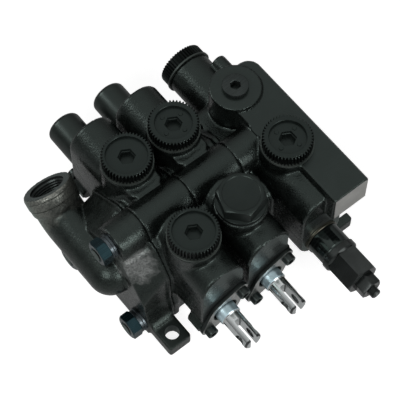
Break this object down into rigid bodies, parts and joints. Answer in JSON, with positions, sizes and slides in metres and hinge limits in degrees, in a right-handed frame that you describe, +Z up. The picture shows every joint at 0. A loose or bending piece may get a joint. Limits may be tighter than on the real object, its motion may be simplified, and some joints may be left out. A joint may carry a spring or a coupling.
{
  "type": "hydraulic control valve",
  "caption": "Sectional spool valve: black castings stacked on tie rods, with knurled port caps, clevis-ended spools, spring cans, a tank elbow and a relief valve.",
  "frame": {"origin": "axis of the left foot's bolt hole on the mounting plane", "axes": "+X along the stack from the tank end to the pump end, +Y from the clevises to the spring cans, +Z up from the mounting plane to the ports"},
  "size_m": [0.189, 0.2435, 0.116],
  "materials": {
    "black_casting": "semi-gloss black paint",
    "zinc_steel": "zinc plated",
    "washer_steel": "dull",
    "black_steel": "black oxide",
    "spool_steel": "bright ground",
    "plate_steel": "satin",
    "can_steel": "smooth black paint",
    "spring_steel": "oiled",
    "cap_plastic": "matte dark grey",
    "seal_rubber": "matte"
  },
  "bodies": {
    "spool_1_body": {"spool_1": "spool_steel", "centring_disc_1": "plate_steel", "spool_end_bolt_1": "black_steel"},
    "spool_2_body": {"spool_2": "spool_steel", "centring_disc_2": "plate_steel", "spool_end_bolt_2": "black_steel"},
    "relief_seat_body": {"relief_spring_seat": "spool_steel"},
    "relief_screw_body": {"relief_adjusting_screw": "black_steel"},
    "relief_poppet_body": {"relief_poppet": "spool_steel"},
    "load_check_1_body": {"load_check_poppet_1": "spool_steel"},
    "load_check_2_body": {"load_check_poppet_2": "spool_steel"},
    "valve_block": {"front_spring_1": "spring_steel", "front_spring_2": "spring_steel", "hex_plug_2_front": "zinc_steel", "hex_plug_washer": "washer_steel", "inlet_boss_plug": "zinc_steel", "inlet_section": "black_casting", "joint_seal_rings": "seal_rubber", "load_check_spring_1": "spring_steel", "load_check_spring_2": "spring_steel", "outlet_section": "black_casting", "port_cap_1_front": "cap_plastic", "port_cap_1_rear": "cap_plastic", "port_cap_2_rear": "cap_plastic", "port_cap_inlet_rear": "cap_plastic", "port_cap_inlet_top": "cap_plastic", "port_cap_rings": "seal_rubber", "rear_seal_1": "seal_rubber", "rear_seal_2": "seal_rubber", "rear_spring_1": "spring_steel", "rear_spring_2": "spring_steel", "relief_body": "black_steel", "relief_lock_nut": "black_steel", "relief_sleeve": "black_steel", "relief_spring": "spring_steel", "relief_washer": "washer_steel", "retainer_plate_1": "plate_steel", "retainer_plate_2": "plate_steel", "retainer_screws_1": "black_steel", "retainer_screws_2": "black_steel", "spring_can_1": "can_steel", "spring_can_2": "can_steel", "spring_can_screws_1": "black_steel", "spring_can_screws_2": "black_steel", "spring_washer_1": "plate_steel", "spring_washer_2": "plate_steel", "tie_rod_lock_washers": "zinc_steel", "tie_rod_nuts": "zinc_steel", "tie_rod_washers": "zinc_steel", "tie_rods": "zinc_steel", "wiper_seal_1": "seal_rubber", "wiper_seal_2": "seal_rubber", "work_section_1": "black_casting", "work_section_2": "black_casting"}
  },
  "joints": [
    {"name": "spool_1_slide", "type": "slide", "parent": "valve_block", "child": "spool_1_body", "axis": [0, 1, 0], "range_m": [-0.007, 0.007], "stiffness_N_per_m": 9000, "deforming": ["front_spring_1", "rear_spring_1"]},
    {"name": "spool_2_slide", "type": "slide", "parent": "valve_block", "child": "spool_2_body", "axis": [0, 1, 0], "range_m": [-0.007, 0.007], "stiffness_N_per_m": 9000, "deforming": ["front_spring_2", "rear_spring_2"]},
    {"name": "relief_seat_slide", "type": "slide", "parent": "valve_block", "child": "relief_seat_body", "axis": [0, 1, 0], "range_m": [-0.00125, 0.00125], "deforming": ["relief_spring"]},
    {"name": "relief_screw_turn", "type": "hinge", "parent": "relief_seat_body", "child": "relief_screw_body", "pos_m": [0.119, -0.05, 0.042], "axis": [0, 1, 0], "range_deg": [-360, 360]},
    {"name": "relief_poppet_lift", "type": "slide", "parent": "valve_block", "child": "relief_poppet_body", "axis": [0, -1, 0], "range_m": [0, 0.002], "stiffness_N_per_m": 30000, "springref_m": -0.003, "deforming": ["relief_spring"]},
    {"name": "load_check_1_lift", "type": "slide", "parent": "valve_block", "child": "load_check_1_body", "axis": [1, 0, 0], "range_m": [0, 0.003], "stiffness_N_per_m": 600, "springref_m": -0.003, "deforming": ["load_check_spring_1"]},
    {"name": "load_check_2_lift", "type": "slide", "parent": "valve_block", "child": "load_check_2_body", "axis": [1, 0, 0], "range_m": [0, 0.003], "stiffness_N_per_m": 600, "springref_m": -0.003, "deforming": ["load_check_spring_2"]}
  ],
  "couplings": [
    {"joint": "relief_screw_turn", "follows": "relief_seat_slide", "rad_per_m": 5026.5}
  ]
}
